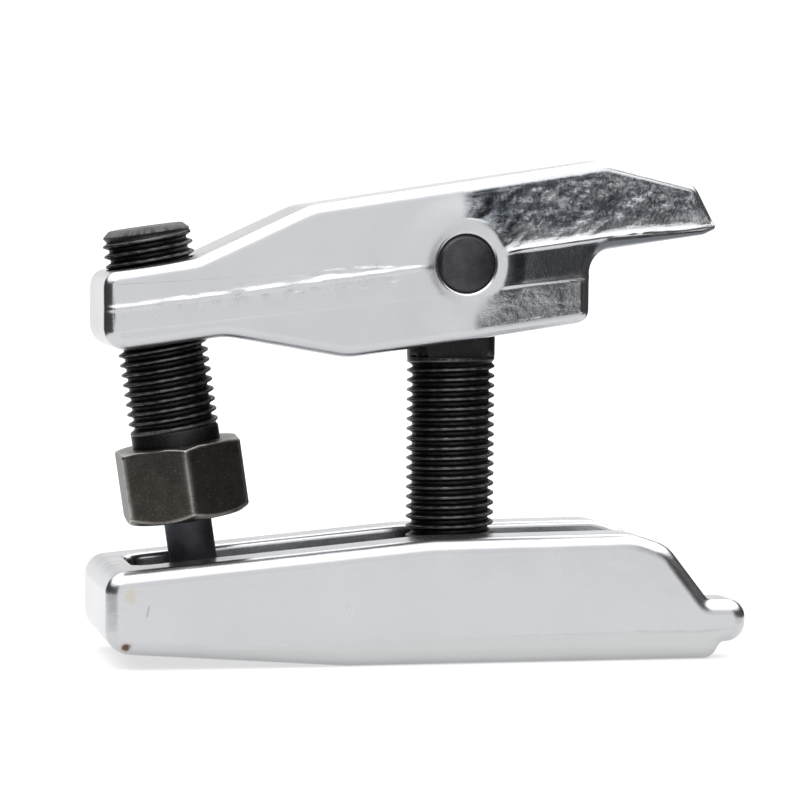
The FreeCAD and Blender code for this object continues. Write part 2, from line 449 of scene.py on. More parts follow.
@dataclass(frozen=True)
class BlackOxide:
    """Blackened steel, lighter where the edges named by the wear attribute are rubbed."""

    name: str
    tone: tuple[float, float, float] = (0.02, 0.0195, 0.02)
    worn: tuple[float, float, float] = (0.2, 0.19, 0.185)
    dull: float = 0.36
    speckle: float = 0.25
    grain_mm: float = 0.35
    cloud_mm: float = 3.0
    speck_mm: float = 0.45
    wear_share: float = 0.6

    def material(self) -> bpy.types.Material:
        """Black surface with mottling, pale specks and rubbed edges.

        Returns:
            The finished material.
        """
        shade = Shade(bpy.data.materials.new(self.name))
        here = shade.place()
        grain = shade.noise(here, self.grain_mm, 3.0, 0.65)
        cloud = shade.noise(here, self.cloud_mm, 3.0)
        specks = shade.noise(here, self.speck_mm, 2.0, 0.7).band(0.56, 0.72)
        wear = shade.attribute("wear") * (cloud * 0.9 + grain * 0.7).band(0.35, 0.95)
        colour = shade.colours(cloud * 0.6 + grain * 0.4, (
            (0.3, tuple(c * 0.7 for c in self.tone)), (0.7, tuple(c * 1.35 for c in self.tone))))
        colour = shade.mixed(specks * self.speckle, colour, self.worn)
        colour = shade.mixed(wear * self.wear_share, colour, self.worn)
        roughness = self.dull + grain * 0.16 - wear * 0.08
        return shade.surface(colour, roughness, shade.bumped(grain + cloud * 0.5, 0.02))


@dataclass(frozen=True)
class TurnedSteel:
    """Dark turned steel with fine rings about an axis and a few scratches."""

    name: str
    tone: tuple[float, float, float] = (0.05, 0.048, 0.052)
    bright: tuple[float, float, float] = (0.16, 0.155, 0.16)
    dull: float = 0.34
    ringed: float = 0.7
    ring_mm: float = 0.55
    grain_mm: float = 0.5
    cloud_mm: float = 2.5
    centre_mm: tuple[float, float, float] = (PIN[0], 0.0, PIN[1])
    flat_axis: tuple[float, float, float] = (1.0, 0.0, 1.0)

    def material(self) -> bpy.types.Material:
        """Dark surface with ring marks round its axis.

        Returns:
            The finished material.
        """
        shade = Shade(bpy.data.materials.new(self.name))
        here = shade.place()
        centred = shade.add("ShaderNodeVectorMath", {"operation": "SUBTRACT"}, {
            0: here, 1: tuple(c * MM for c in self.centre_mm)}).outputs[0]
        flat = shade.add("ShaderNodeVectorMath", {"operation": "MULTIPLY"}, {
            0: centred, 1: self.flat_axis}).outputs[0]
        radius = Value(shade, shade.add("ShaderNodeVectorMath", {"operation": "LENGTH"}, {
            0: flat}).outputs["Value"])
        grain = shade.noise(here, self.grain_mm, 3.0, 0.6)
        cloud = shade.noise(here, self.cloud_mm, 2.0)
        phase = radius * (2 * math.pi / (self.ring_mm * MM)) + cloud * 5.0
        rings = phase.math("SINE") * 0.5 + 0.5
        marks = rings * cloud.band(0.42, 0.62) * self.ringed
        colour = shade.colours(cloud * 0.5 + grain * 0.5, (
            (0.3, tuple(c * 0.8 for c in self.tone)), (0.7, tuple(c * 1.2 for c in self.tone))))
        colour = shade.mixed(marks * 0.35, colour, self.bright)
        roughness = self.dull + grain * 0.14 - marks * 0.06
        return shade.surface(colour, roughness, shade.bumped(marks * 0.5 + grain * 0.5, 0.015))


# ------------------------------------------------------------------ mesh surfaces
class Skin:
    """Grid patches in millimetres, gathered into one smooth mesh.

    Points nearer than JOIN_DISTANCE become one, and edges under LEAST_EDGE go;
    both are in metres. Edges that turn more than SHARP_DEG stay sharp.
    """

    JOIN_DISTANCE = 2e-6
    LEAST_EDGE = 1e-7
    SHARP_DEG = 35.0

    def __init__(self, name: str) -> None:
        """Starts an empty skin.

        Args:
            name: name of the piece that it becomes.
        """
        self.name = name
        self.points: list[np.ndarray] = []
        self.faces: list[np.ndarray] = []
        self.wear: list[np.ndarray] = []
        # shares of painted dark reflection, one array for each patch
        self.dim: list[np.ndarray] = []
        self.count = 0

    def patch(self, grid: np.ndarray, around: bool = False, flip: bool = False,
              wear: np.ndarray | float = 0.0, dim: np.ndarray | float = 0.0) -> None:
        """Adds a grid of points joined into quads.

        Args:
            grid: array of rows, columns and three coordinates.
            around: joins the last column to the first.
            flip: turns the faces over.
            wear: how rubbed or rough each point is, from 0 to 1.
            dim: share of painted dark reflection at each point, from 0 to 1.
        """
        rows, columns = grid.shape[:2]
        index = np.arange(rows * columns).reshape(rows, columns) + self.count
        if around:
            index = np.hstack([index, index[:, :1]])
        quads = np.stack([index[:-1, :-1], index[:-1, 1:], index[1:, 1:], index[1:, :-1]], axis=-1)
        quads = quads.reshape(-1, 4)
        self.faces.append(quads[:, ::-1] if flip else quads)
        self.points.append(grid.reshape(-1, 3))
        self.wear.append(np.broadcast_to(wear, (rows, columns)).reshape(-1))
        self.dim.append(np.broadcast_to(dim, (rows, columns)).reshape(-1))
        self.count += rows * columns

    def build(self) -> bpy.types.Object:
        """Joins the patches along their shared edges and makes the object.

        Returns:
            The finished object, in metres, at the origin.
        """
        mesh = bpy.data.meshes.new(self.name)
        points = np.concatenate(self.points) * MM
        faces = np.concatenate(self.faces)
        mesh.from_pydata(points, [], faces)
        for name, values in (("wear", self.wear), ("dim", self.dim)):
            layer = mesh.attributes.new(name, "FLOAT", "POINT")
            layer.data.foreach_set("value", np.concatenate(values).astype(np.float32))
        work = bmesh.new()
        work.from_mesh(mesh)
        bmesh.ops.remove_doubles(work, verts=work.verts, dist=self.JOIN_DISTANCE)
        bmesh.ops.dissolve_degenerate(work, edges=work.edges, dist=self.LEAST_EDGE)
        bmesh.ops.recalc_face_normals(work, faces=work.faces)
        work.to_mesh(mesh)
        work.free()
        mesh.shade_smooth()
        mesh.set_sharp_from_angle(angle=math.radians(self.SHARP_DEG))
        piece = bpy.data.objects.new(self.name, mesh)
        bpy.context.scene.collection.objects.link(piece)
        return piece


@dataclass(frozen=True)
class Axle:
    """A straight axis in space with two directions square to it."""

    base: tuple[float, float, float]
    along: tuple[float, float, float]

    def put(self, radius: np.ndarray, angle: np.ndarray, height: np.ndarray) -> np.ndarray:
        """Point at base + height * along + radius * (cos(angle) * side + sin(angle) * other).

        Args:
            radius: distance from the axis.
            angle: angle about the axis.
            height: distance along the axis.

        Returns:
            Array of points with the inputs' common shape.
        """
        along = np.array(self.along) / np.linalg.norm(self.along)
        side = np.cross((0.0, 1.0, 0.0) if abs(along[1]) < 0.9 else (0.0, 0.0, 1.0), along)
        side /= np.linalg.norm(side)
        other = np.cross(along, side)
        radius, angle, height = np.broadcast_arrays(radius, angle, height)
        return (np.array(self.base) + height[..., None] * along
                + (radius * np.cos(angle))[..., None] * side
                + (radius * np.sin(angle))[..., None] * other)


def angles(count: int) -> np.ndarray:
    """Evenly spaced angles round a full turn, the last one left off."""
    return np.linspace(0.0, 2 * np.pi, count, endpoint=False)


def lathe(skin: Skin, axle: Axle, outline: Sequence[Sequence[float]], count: int = 96,
          wear: Sequence[float] | float = 0.0) -> None:
    """Turned surface: every outline point (radius, height) is carried round the axle.

    Args:
        skin: skin that takes the surface.
        axle: axis of the turning.
        outline: radius, height pairs.
        count: points round one turn.
        wear: how rubbed each outline point is.
    """
    radius, height = np.array(outline, dtype=float).T
    grid = axle.put(radius[:, None], angles(count)[None, :], height[:, None])
    rubbed = np.broadcast_to(np.asarray(wear, dtype=float), radius.shape)[:, None]
    skin.patch(grid, around=True, wear=rubbed)


@dataclass
class Thread:
    """Right-hand 60 degree screw thread between two heights of an axle."""

    crest: float = 9.0
    depth: float = 1.15
    pitch: float = 2.0
    per_pitch: int = 20
    count: int = 108
    run_out: float = 1.6
    crest_flat: float = 0.16
    flank: float = 0.6

    def cut(self, skin: Skin, axle: Axle, low: float, high: float,
            low_radius: float, high_radius: float) -> None:
        """Surface whose radius falls from the crest by the thread's depth.

        The fall follows a flattened triangle wave of (height / pitch - angle / turn),
        and fades out at both ends over the run-out length.

        Args:
            skin: skin that takes the surface.
            axle: the thread's axis.
            low: height where the surface starts.
            high: height where it ends.
            low_radius: radius that it starts from.
            high_radius: radius that it ends at.
        """
        rows = int((high - low) / self.pitch * self.per_pitch) + 1
        height = np.linspace(low, high, rows)[:, None]
        turn = angles(self.count)[None, :]
        wave = np.abs(2 * np.mod(height / self.pitch - turn / (2 * np.pi), 1.0) - 1)
        fall = np.clip((wave - self.crest_flat) / self.flank, 0.0, 1.0)
        fall = 0.5 * fall + 0.5 * fall ** 2 * (3 - 2 * fall)
        low_fade = np.clip((height - low) / self.run_out, 0, 1)
        high_fade = np.clip((high - height) / self.run_out, 0, 1)
        radius = self.crest - (self.crest - low_radius) * (1 - low_fade)
        radius = radius - (self.crest - high_radius) * (1 - high_fade)
        radius = radius - self.depth * fall * low_fade * high_fade
        skin.patch(axle.put(radius, turn, height), around=True, wear=np.clip(1 - fall * 2.2, 0, 1))


# ------------------------------------------------------------------ the tool's parts
def dress(piece: bpy.types.Object, finish: bpy.types.Material, body: str,
          stands_for: str) -> bpy.types.Object:
    """Gives a new piece its finish and its place in the frame.

    Args:
        piece: the new mesh object.
        finish: its material.
        body: CAD body that it rides on.
        stands_for: CAD node that it stands for.

    Returns:
        The same piece.
    """
    piece.data.materials.clear()
    piece.data.materials.append(finish)
    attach(piece, body)
    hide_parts(stands_for)
    LOG.info("%s rides on %s: %d faces", piece.name, body, len(piece.data.polygons))
    return piece


def redress(node: str, finish: bpy.types.Material) -> None:
    """Gives a carried-over CAD node its finish.

    Args:
        node: the CAD node's name.
        finish: its material.
    """
    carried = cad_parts[node]
    for holder in carried.material_slots:
        holder.material = finish
    LOG.info("%s keeps its CAD mesh", node)


@dataclass
class PivotPost:
    """Threaded post with the flat eye that turns on the cross pin."""

    axis_x: float = PIN[0]
    foot: float = 0.8
    chamfer: float = 1.4
    thread_end: float = 60.4
    flats: float = 60.8
    pin_height: float = PIN[1]
    radius: float = 9.0
    half_thick: float = 6.3
    bore: float = 5.8
    thread: Thread = field(default_factory=Thread)
    finish: BlackOxide = BlackOxide("post_black", speckle=0.12, wear_share=0.5)

    def shank(self, skin: Skin) -> None:
        """Turned foot, thread and plain collar under the eye.

        Args:
            skin: the post's skin.
        """
        axle = Axle((self.axis_x, 0.0, 0.0), (0.0, 0.0, 1.0))
        start, low, collar = self.foot + self.chamfer, self.radius - 0.1, self.radius - 0.05
        lathe(skin, axle, [(0.0, self.foot), (self.radius - 1.5, self.foot), (low, start)],
              self.thread.count)
        self.thread.cut(skin, axle, start, self.thread_end, low, collar)
        lathe(skin, axle, [(collar, self.thread_end), (collar, self.flats), (0.0, self.flats)],
              self.thread.count, (0.0, 0.5, 0.0))

    def eye(self, skin: Skin) -> None:
        """Flat eye: at each place across it, the farther of a round eye and the post's own chord.

        The chord is sqrt(radius squared - y squared), met at chord / cos(bearing), and the
        column ends at the collar.

        Args:
            skin: the post's skin.
        """
        turn = angles(144)
        cosine, sine = np.cos(turn), np.sin(turn)
        least = 1e-6
        y = np.linspace(-self.half_thick, self.half_thick, 13)[:, None]
        chord = np.sqrt(self.radius ** 2 - y ** 2)
        fall = np.clip(-sine, least, None)[None, :]
        column = np.minimum(chord / np.clip(np.abs(cosine), least, None)[None, :],
                            (self.pin_height - self.flats) / fall)
        reach = np.where(sine[None, :] < 0, np.maximum(self.radius, column), self.radius)
        bore = np.full((1, len(turn)), self.bore)
        reach = np.vstack([bore, reach, bore, bore])
        across = np.concatenate([[-self.half_thick], y[:, 0], [self.half_thick, -self.half_thick]])
        grid = np.stack([self.axis_x + reach * cosine,
                         np.broadcast_to(across[:, None], reach.shape),
                         self.pin_height + reach * sine], axis=-1)
        skin.patch(grid, around=True)

    def build(self) -> None:
        """Makes the post and puts it on its body."""
        skin = Skin("pivot_post_threaded")
        self.shank(skin)
        self.eye(skin)
        dress(skin.build(), self.finish.material(), "post", "pivot_post")


@dataclass
class ScrewAxis:
    """The forcing screw's axis: heights run from the screw's foot up to its top end."""

    top_x: float = -55.6
    top_z: float = 86.9
    tilt_deg: float = 8.5

    def axle(self, below_top: float) -> Axle:
        """Axis that starts below the screw's top end and points up it.

        Args:
            below_top: distance of its base from the top end.

        Returns:
            The axis.
        """
        lean = math.radians(self.tilt_deg)
        along = (-math.sin(lean), 0.0, math.cos(lean))
        base = (self.top_x - below_top * along[0], 0.0, self.top_z - below_top * along[2])
        return Axle(base, along)


@dataclass
class ForcingScrew:
    """Forcing screw with its hexagon near the foot."""

    axis: ScrewAxis = field(default_factory=ScrewAxis)
    length: float = 59.0
    hexagon_height: float = 15.0
    shank_start: float = 17.6
    across_flats: float = 24.0
    turn_deg: float = 29.0
    radius: float = 9.0
    bore: float = 4.85
    bore_depth: float = 14.0
    corner_power: float = 150.0
    worn_corner: float = 14.0
    foot_slope: float = 0.6
    top_slope: float = 0.35
    least_drop: float = 0.12
    end_chamfer: float = 1.2
    thread: Thread = field(default_factory=Thread)
    finish: BlackOxide = BlackOxide(
        "screw_black", tone=(0.05, 0.045, 0.04), worn=(0.4, 0.385, 0.365),
        dull=0.3, speckle=0.16, wear_share=0.85)
    thread_finish: BlackOxide = BlackOxide("screw_thread_black", speckle=0.12, wear_share=0.5)

    def hexagon(self, skin: Skin) -> None:
        """Hexagon with rounded corners and turned chamfers.

        The radius at an angle is half the across-flats over the power mean of the
        cosines to the six face directions, which rounds the corners; each chamfer is
        a cone that cuts the faces where it is nearer to the axis.

        Args:
            skin: the screw's skin.
        """
        turn = angles(360)
        flat = self.across_flats / 2
        to_faces = turn[:, None] - np.radians(self.turn_deg + 30 + 60 * np.arange(6))[None, :]
        closeness = (np.clip(np.cos(to_faces), 0, None) ** self.corner_power).sum(axis=1)
        outer = flat / closeness ** (1 / self.corner_power)
        corner = np.clip((outer - flat) / (flat * 0.14), 0, 1) ** self.worn_corner
        foot_rim, top_rim = flat - 0.5, flat + 0.1
        foot_drop = np.clip((outer - foot_rim) * self.foot_slope, self.least_drop, None)
        top_drop = np.clip((outer - top_rim) * self.top_slope, self.least_drop, None)
        height = self.hexagon_height
        rows = [
            (self.bore, 0.0, 0.0),
            (foot_rim - 0.6, 0.0, 0.0),
            (foot_rim, 0.06, 0.0),
            (outer - 0.18, foot_drop - 0.06, 0.5),
            (outer, foot_drop + 0.2, 0.6 + 0.4 * corner),
            (outer, foot_drop + 0.7, corner),
        ]
        rows += [(outer, height * share, corner) for share in np.linspace(0.12, 0.88, 9)]
        rows += [
            (outer, height - top_drop - 0.6, corner),
            (outer, height - top_drop - 0.18, 0.35 + 0.65 * corner),
            (outer - 0.16, height - top_drop + 0.06, 0.9),
            (top_rim, height - 0.05, 0.6),
            (top_rim - 0.5, height, 0.2),
            (self.radius - self.least_drop, height, 0.0),
        ]
        axle = self.axis.axle(self.length)
        radii, heights, wear = (
            np.array([np.broadcast_to(part, turn.shape) for part in column])
            for column in zip(*rows))
        skin.patch(axle.put(radii, turn[None, :], heights), around=True, wear=wear)

    def build(self) -> None:
        """Makes the hexagon with its bore, and the threaded shank, and dresses both."""
        head = Skin("forcing_screw_hexagon")
        self.hexagon(head)
        axle = self.axis.axle(self.length)
        height, rim = self.hexagon_height, self.radius - self.least_drop
        lathe(head, axle, [(self.bore, 0.0), (self.bore, self.bore_depth), (0.0, self.bore_depth)],
              360)
        lathe(head, axle, [(rim, height), (0.0, height)], 360)
        dress(head.build(), self.finish.material(), "screw", "forcing_screw")
        shank = Skin("forcing_screw_thread")
        sunk, neck = height - 0.4, self.radius - 0.15
        end, end_radius = self.length - self.end_chamfer, self.radius - 0.3
        lathe(shank, axle, [(0.0, sunk), (neck, sunk), (neck, self.shank_start)], self.thread.count)
        self.thread.cut(shank, axle, self.shank_start, end, neck, end_radius)
        lathe(shank, axle, [(end_radius, end), (self.radius - 1.5, self.length - 0.1),
                            (self.radius - 1.9, self.length), (0.0, self.length)],
              self.thread.count, (0.6, 0.6, 0.5, 0.1))
        dress(shank.build(), self.thread_finish.material(), "screw", "forcing_screw")


@dataclass
class ThrustTip:
    """Plain hardened tip with a domed foot."""

    axis: ScrewAxis = field(default_factory=ScrewAxis)
    end: float = 75.35
    radius: float = 4.8
    dome: float = 7.0
    top: float = 45.1
    chamfer: float = 0.8
    finish: TurnedSteel = TurnedSteel(
        "tip_dark", tone=(0.07, 0.071, 0.08), dull=0.5, ringed=0.15,
        centre_mm=(-49.0, 0.0, 0.0), flat_axis=(0.0, 0.0, 1.0))

    def build(self) -> None:
        """Turns the dome, the stem and its chamfer, and dresses the tip."""
        skin = Skin("thrust_tip_turned")
        sweep = np.linspace(0.0, math.asin((self.radius - 0.15) / self.dome), 10)
        outline = [(self.dome * math.sin(a), self.dome * (1 - math.cos(a))) for a in sweep]
        length = self.end - self.top
        outline += [(self.radius, outline[-1][1] + 0.25), (self.radius, length - self.chamfer),
                    (self.radius - self.chamfer, length), (0.0, length)]
        lathe(skin, self.axis.axle(self.end), outline, 72)
        dress(skin.build(), self.finish.material(), "tip", "thrust_tip")


@dataclass
class CrossPin:
    """Pin through both cheeks of the lever and the post's eye."""

    centre: tuple[float, float] = PIN
    radius: float = 5.75
    half_length: float = 13.9
    chamfer: float = 0.55
    finish: TurnedSteel = TurnedSteel("pin_dark", ringed=0.3)

    def build(self) -> None:
        """Turns the pin with a small chamfer at each end."""
        skin = Skin("cross_pin_turned")
        end, edge = self.half_length, self.chamfer
        outline = [(0.0, -end), (self.radius - edge - 0.1, -end), (self.radius - edge, -end + 0.05),
                   (self.radius, -end + edge), (self.radius, end - edge),
                   (self.radius - edge, end - 0.05), (self.radius - edge - 0.1, end), (0.0, end)]
        lathe(skin, Axle((self.centre[0], 0.0, self.centre[1]), (0.0, 1.0, 0.0)), outline, 96)
        dress(skin.build(), self.finish.material(), "lever", "cross_pin")


# ------------------------------------------------------------------- forged lever
def rounded_loop(corners: Sequence[Sequence[float]], steps: int = 16) -> np.ndarray:
    """Closed outline with a round at every corner.

    At a corner the round's two ends lie radius / tan(half the corner's angle) away
    along its sides, and the points between them turn evenly about the round's centre.

    Args:
        corners: x, z, radius and rim of each corner, anticlockwise.
        steps: points along each round.

    Returns:
        Array of x, z and rim, one row for each point.
    """
    place = np.array([corner[:2] for corner in corners], dtype=float)
    radius = np.array([corner[2] for corner in corners], dtype=float)[:, None]
    rim = np.array([corner[3] for corner in corners], dtype=float)
    back = np.roll(place, 1, axis=0) - place
    ahead = np.roll(place, -1, axis=0) - place
    back /= np.linalg.norm(back, axis=1)[:, None]
    ahead /= np.linalg.norm(ahead, axis=1)[:, None]
    half = 0.5 * np.arccos(np.clip((back * ahead).sum(axis=1), -1, 1))[:, None]
    start = place + back * radius / np.tan(half)
    middle = (back + ahead) / np.linalg.norm(back + ahead, axis=1)[:, None]
    centre = place + middle * radius / np.sin(half)
    first = start - centre
    convex = np.sign(back[:, 1] * ahead[:, 0] - back[:, 0] * ahead[:, 1])[:, None]
    turn = convex * np.linspace(0, 1, steps)[None, :] * (np.pi - 2 * half)
    x = centre[:, :1] + first[:, :1] * np.cos(turn) - first[:, 1:] * np.sin(turn)
    z = centre[:, 1:] + first[:, :1] * np.sin(turn) + first[:, 1:] * np.cos(turn)
    return np.stack([x, z, np.broadcast_to(rim[:, None], x.shape)], axis=-1).reshape(-1, 3)


def resample(loop: np.ndarray, stops: Sequence[float], counts: Sequence[int]) -> np.ndarray:
    """Points along a closed loop, evenly spaced between stops on its running length.

    Args:
        loop: rows of x, z and rim.
        stops: running lengths, rising, over one turn.
        counts: number of points in each span, the last span leading back to the first stop.

    Returns:
        The new rows, one for each point.
    """
    closed = np.vstack([loop, loop[:1]])
    steps = np.linalg.norm(np.diff(closed[:, :2], axis=0), axis=1)
    length = np.concatenate([[0], np.cumsum(steps)])
    ends = [*stops, stops[0] + length[-1]]
    spans = [np.linspace(a, b, n, endpoint=False) for a, b, n in zip(ends, ends[1:], counts)]
    at = np.mod(np.concatenate(spans), length[-1])
    return np.stack([np.interp(at, length, closed[:, i]) for i in range(closed.shape[1])], axis=-1)


def running_length(loop: np.ndarray, x: float, top: bool) -> float:
    """Running length where the loop's underside or top passes a place along the tool.

    Args:
        loop: rows of x, z and rim.
        x: the place along the tool.
        top: takes the top and not the underside.

    Returns:
        Length from the loop's first point.
    """
    closed = np.vstack([loop, loop[:1]])
    move = np.diff(closed[:, :2], axis=0)
    length = np.concatenate([[0], np.cumsum(np.linalg.norm(move, axis=1))])
    low = np.minimum(closed[:-1, 0], closed[1:, 0])
    high = np.maximum(closed[:-1, 0], closed[1:, 0])
    hit = np.flatnonzero((low <= x) & (x < high) & ((move[:, 0] < 0) == top))
    i = hit[np.argmax(closed[hit, 1])] if top else hit[np.argmin(closed[hit, 1])]
    return float(length[i] + (x - closed[i, 0]) / move[i, 0] * np.linalg.norm(move[i]))


def outward(loop: np.ndarray) -> np.ndarray:
    """Unit normals of an anticlockwise loop: its central difference turned by a quarter.

    Args:
        loop: rows of x, z and rim.

    Returns:
        One unit vector for each point.
    """
    move = np.roll(loop[:, :2], -1, axis=0) - np.roll(loop[:, :2], 1, axis=0)
    normal = np.stack([move[:, 1], -move[:, 0]], axis=-1)
    return normal / np.linalg.norm(normal, axis=1)[:, None]


def weathering(u: np.ndarray, v: np.ndarray, grain: float, texture: Texture,
               octaves: int = 3) -> np.ndarray:
    """Fractal value noise: random lattice heights joined by smooth steps.

    Each octave is half as large as the one before, and starts elsewhere on the lattice.

    Args:
        u: first coordinate, millimetres.
        v: second coordinate.
        grain: lattice spacing of the first octave.
        texture: which random lattice is used.
        octaves: number of octaves.

    Returns:
        Heights from about 0 to 1.
    """
    lattice = np.random.default_rng(texture.value).random((LATTICE, LATTICE))
    total, weight = np.zeros(np.broadcast(u, v).shape), 0.0
    for octave in range(octaves):
        a = u / grain * 2 ** octave + 17.3 * octave
        b = v / grain * 2 ** octave + 9.1 * octave
        i, j = np.floor(a).astype(int), np.floor(b).astype(int)
        s, t = a - i, b - j
        s, t = s * s * (3 - 2 * s), t * t * (3 - 2 * t)
        corner = [lattice[(i + p) % LATTICE, (j + q) % LATTICE] for p in (0, 1) for q in (0, 1)]
        first = corner[0] * (1 - t) + corner[1] * t
        second = corner[2] * (1 - t) + corner[3] * t
        total = total + (first * (1 - s) + second * s) * 0.5 ** octave
        weight = weight + 0.5 ** octave
    return total / weight


def step(value: np.ndarray, low: float, high: float) -> np.ndarray:
    """Smooth step from 0 at low to 1 at high."""
    t = np.clip((value - low) / (high - low), 0, 1)
    return t * t * (3 - 2 * t)


def soft_ramp(value: np.ndarray, bend: float) -> np.ndarray:
    """About 0 below 0 and the value itself above it, with a soft bend between."""
    return 0.5 * (value + np.sqrt(value ** 2 + bend))


@dataclass
class ForgedLever:
    """Forged upper jaw: threaded rear end, slotted middle on the pin, tapered finger."""

    outline: tuple[tuple[float, float, float, float], ...] = (
        (-65.3, 61.9, 4.5, 2.4), (-41.0, 65.3, 14.0, 2.4), (-16.5, 61.0, 14.0, 2.4),
        (34.5, 68.2, 2.8, 2.2), (34.4, 82.4, 5.0, 2.4), (59.8, 86.1, 2.0, 1.0),
        (62.5, 87.5, 0.6, 0.5), (58.2, 96.2, 3.5, 1.6), (38.0, 101.3, 6.0, 2.4),
        (-24.0, 91.5, 12.0, 2.4), (-47.0, 80.7, 8.0, 2.4), (-65.3, 77.7, 3.2, 2.2))
    pin: tuple[float, float] = PIN
    bore: float = 5.77
    sink: float = 0.9
    wave_room: float = 0.12
    half_wide: float = 14.3
    taper_deg: float = 10.5
    taper_bend: float = 1.44
    boss: float = 8.6
    upper_lean_deg: float = 5.0
    lower_lean_deg: float = 3.5
    lean_bend: float = 0.3
    slot_half: float = 6.5
    slot_reach: float = 9.5
    slot_swing_deg: float = 14.0
    screw_bore: float = 9.05
    screw_window: float = 10.5
    axis: ScrewAxis = field(default_factory=ScrewAxis)
    ridge_line: tuple[float, float] = (79.37, 0.137)
    ridge_rise: float = 0.95
    band_line: tuple[float, float] = (73.74, 0.115)
    bead_width: float = 0.6
    faint_width: float = 0.45
    streak_slant: tuple[float, float] = (0.77, 0.64)
    streak_squash: float = 3.4
    far_shift: float = 40.0
    under_window: tuple[float, float] = (-63.0, -41.2)
    top_window: tuple[float, float] = (-44.4, -64.6)
    heel: float = 31.5
    bore_row: float = 10.0
    face_rows: int = 58
    outer_rows: int = 4
    inner_rows: int = 9
    window_steps: int = 30
    foot_rounds: int = 6
    hole_rounds: int = 12
    finish: Plating = Plating("lever_plating")

    def ridge(self, x: np.ndarray) -> np.ndarray:
        """Height of the parting ridge: a straight line, a little higher along the finger."""
        height, slope = self.ridge_line
        return height + slope * x + self.ridge_rise * step(x, 10.0, 18.0) * step(x, 58.0, 40.0)

    def lower_line(self, x: np.ndarray) -> np.ndarray:
        """Height of the flat band's lower edge."""
        height, slope = self.band_line
        return height + slope * x

    def cheek(self, x: np.ndarray, z: np.ndarray, side: Side, ease: np.ndarray) -> np.ndarray:
        """Half width of the lever at a point of its side.

        The flat half width, less the finger's taper beyond the boss, less the lean
        above the ridge and below the lower line, plus the ridge's bead, less the
        pits of the cast skin where it was left rough.

        Args:
            x: place along the tool.
            z: height.
            side: the side of the tool.
            ease: share of the rough skin's depth, which dies away at the rounded edge.

        Returns:
            Distance of the surface from the middle plane.
        """
        radius = np.hypot(x - self.pin[0], z - self.pin[1])
        run = x - self.pin[0] - 2.0
        taper = math.tan(math.radians(self.taper_deg)) * soft_ramp(run, self.taper_bend)
        taper = taper * step(radius, self.boss - 0.9, self.boss + 4.0)
        over = z - self.ridge(x)
        under = self.lower_line(x) - z
        clear = step(radius, 6.2, 15.0)
        lean = (math.tan(math.radians(self.upper_lean_deg)) * soft_ramp(over, self.lean_bend)
                + math.tan(math.radians(self.lower_lean_deg)) * soft_ramp(under, self.lean_bend))
        shift = self.far_shift if side is Side.FAR else 0.0
        finger = step(self.past_boss(x, z), -0.8, 3.4)
        patchy = weathering(x + shift, z, 4.0, Texture.BEAD)
        beyond = step(radius, 7.0, 9.5)
        tall = 0.12 + 0.26 * patchy + 0.2 * finger
        bead = np.exp(-(over / self.bead_width) ** 2) * tall * beyond
        faint = np.exp(-(under / self.faint_width) ** 2) * (0.08 + 0.14 * finger) * beyond
        pits = self.pits(x, z, finger, shift) * ease
        waves = (weathering(x + shift, z, 9.0, Texture.WAVES, 2) - 0.5) * 0.16 * clear
        dish = 0.22 * step(radius, 8.6, 6.4)
        return (self.half_wide - taper - lean * clear + bead + faint - pits + waves
                - dish - self.wave_room)

    def pits(self, x: np.ndarray, z: np.ndarray, finger: np.ndarray, shift: float) -> np.ndarray:
        """Depth of the cast skin's pits.

        Streaks and knots above the ridge along the finger, knots at the foot, and a few
        crumbs along the ridge towards the screw.

        Args:
            x: place along the tool.
            z: height.
            finger: share of the finger, past the boss.
            shift: offset of this side's textures.

        Returns:
            Depth of the pits.
        """
        over = z - self.ridge(x)
        cosine, sine = self.streak_slant
        flash = 1.0 + 1.4 * np.exp(-np.clip(over, 0, None) / 3.0)
        rough = finger * step(over, 0.5, 1.6)
        along = x * cosine + z * sine + shift
        streaks = weathering(along, (z * cosine - x * sine) * self.streak_squash, 7.5,
                             Texture.STREAKS, 2)
        knots = weathering(x + shift, z, 1.6, Texture.KNOTS, 2)
        sparks = step(np.abs(over), 3.4, 0.3) * step(x, 2.0, -14.0) * step(x, -60.0, -50.0)
        crumbs = step(weathering(x + shift, z, 1.5, Texture.CRUMBS, 2), 0.5, 0.75) * sparks * 0.2
        depth = rough * (0.85 * streaks * flash * 0.6 + 0.3 * knots)
        return depth + self.foot_patch(x, z) * 0.25 * knots + crumbs

    def past_boss(self, x: np.ndarray, z: np.ndarray) -> np.ndarray:
        """Distance along the tool past the round boss about the pin."""
        lift = (z - self.pin[1]) / (self.boss + 0.5)
        return x - self.pin[0] + 0.5 - self.boss * np.sqrt(np.clip(1 - lift ** 2, 0, 1))

    def foot_patch(self, x: np.ndarray, z: np.ndarray) -> np.ndarray:
        """Share of rough skin below the lower line, from the boss to the heel."""
        return step(self.lower_line(x) - z, 0.6, 1.8) * step(x, 9.0, 16.0)

